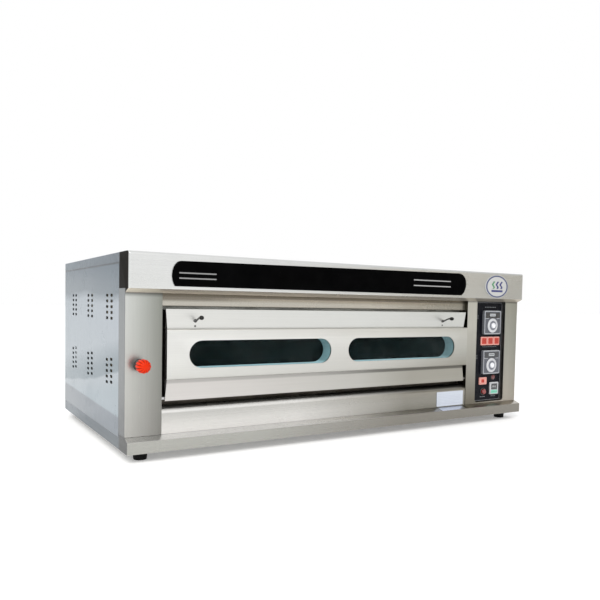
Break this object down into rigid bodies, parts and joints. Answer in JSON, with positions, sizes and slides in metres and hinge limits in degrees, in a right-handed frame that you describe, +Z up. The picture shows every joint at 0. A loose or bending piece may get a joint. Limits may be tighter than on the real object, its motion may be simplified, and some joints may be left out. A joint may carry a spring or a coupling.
{
  "type": "deck oven",
  "caption": "Electric bakery deck oven: wide low stainless casing, drop-down glazed door, plate-hearth baking chamber, control column at the side and a pull-out damper.",
  "frame": {"origin": "centre of the plan bounding box, at floor level under the feet", "axes": "+X to the right as seen by someone facing the door, +Y to the rear, +Z up; the door opens towards -Y"},
  "size_m": [1.64, 0.924, 0.6],
  "materials": {
    "stainless": "fine brushed grain, bright",
    "stainless_warm": "fine brushed grain, slightly warm and duller",
    "galvanised": "bare galvanised sheet and rod, dull grey",
    "black_panel": "black gloss panel",
    "rubber": "matt black rubber",
    "bakelite": "semi-gloss black moulding",
    "grey_plastic": "light grey moulding",
    "white_plastic": "off-white moulding or plate",
    "red_lens": "translucent red lamp or switch moulding",
    "dark_red": "dark red gloss moulding",
    "pale_green": "pale green key bar",
    "orange": "orange-red gloss knob",
    "glass": "smoked heat-resistant glass",
    "iron": "dark heat-blackened plate",
    "heater": "dark heat-tinted element sheath",
    "wool": "mineral wool slab, fibrous"
  },
  "bodies": {
    "casing": {"base_frame": "stainless_warm", "foot_front_left": "rubber", "foot_front_right": "rubber", "foot_rear_left": "rubber", "foot_rear_right": "rubber", "side_panel_left": "stainless", "side_panel_right": "stainless", "rear_panel": "galvanised", "top_cover": "stainless", "canopy": "stainless", "banner_plate": "black_panel", "badge": "white_plastic", "left_pillar": "stainless_warm", "control_column": "stainless_warm", "fascia_plate": "black_panel", "thermostat_upper": "grey_plastic", "thermostat_lower": "grey_plastic", "phase_lamp_1": "red_lens", "phase_lamp_2": "red_lens", "phase_lamp_3": "red_lens", "glow_lamp": "dark_red", "switch_housing": "red_lens", "timer_body": "white_plastic", "upper_front_rail": "stainless_warm", "lower_front_panel": "stainless", "rating_plate": "white_plastic", "chamber_liner": "galvanised", "chamber_front_frame": "stainless_warm", "hearth_plate_left": "iron", "hearth_plate_middle": "iron", "hearth_plate_right": "iron", "top_element_front": "heater", "top_element_rear": "heater", "bottom_element_front": "heater", "bottom_element_rear": "heater", "probe_upper": "galvanised", "probe_lower": "galvanised", "chamber_lamp": "glass", "insulation_jacket": "wool", "insulation_floor": "wool", "flue_duct": "galvanised", "contactor": "grey_plastic", "cable_gland": "bakelite"},
    "door": {"door_skin": "stainless", "door_inner_panel": "stainless", "door_insulation": "wool", "glass_outer_left": "glass", "glass_outer_right": "glass", "glass_inner": "glass", "hinge_rod": "galvanised", "door_handle_left": "bakelite", "door_handle_right": "bakelite"},
    "damper": {"damper_knob": "orange", "damper_rod": "galvanised", "damper_gate": "galvanised"},
    "dial_upper": {"dial_upper": "white_plastic"},
    "dial_lower": {"dial_lower": "white_plastic"},
    "switch_rocker": {"power_rocker": "red_lens"},
    "push_button": {"push_button": "dark_red"},
    "timer_key": {"timer_key": "pale_green"}
  },
  "joints": [
    {"name": "door_hinge", "type": "hinge", "parent": "casing", "child": "door", "pos_m": [0, -0.388, 0.177], "axis": [1, 0, 0], "range_deg": [0, 90]},
    {"name": "damper_slide", "type": "slide", "parent": "casing", "child": "damper", "axis": [0, -1, 0], "range_m": [0, 0.06]},
    {"name": "dial_upper_turn", "type": "hinge", "parent": "casing", "child": "dial_upper", "pos_m": [0.678, -0.4, 0.3865], "axis": [0, 1, 0], "range_deg": [0, 300]},
    {"name": "dial_lower_turn", "type": "hinge", "parent": "casing", "child": "dial_lower", "pos_m": [0.678, -0.4, 0.2245], "axis": [0, 1, 0], "range_deg": [0, 300]},
    {"name": "switch_tilt", "type": "hinge", "parent": "casing", "child": "switch_rocker", "pos_m": [0.641, -0.383, 0.1605], "axis": [0, 0, 1], "range_deg": [0, 16]},
    {"name": "push_button_press", "type": "slide", "parent": "casing", "child": "push_button", "axis": [0, 1, 0], "range_m": [0, 0.004], "stiffness_N_per_m": 400, "springref_m": -0.001},
    {"name": "timer_key_press", "type": "slide", "parent": "casing", "child": "timer_key", "axis": [0, 1, 0], "range_m": [0, 0.0012], "stiffness_N_per_m": 500, "springref_m": -0.0005}
  ]
}
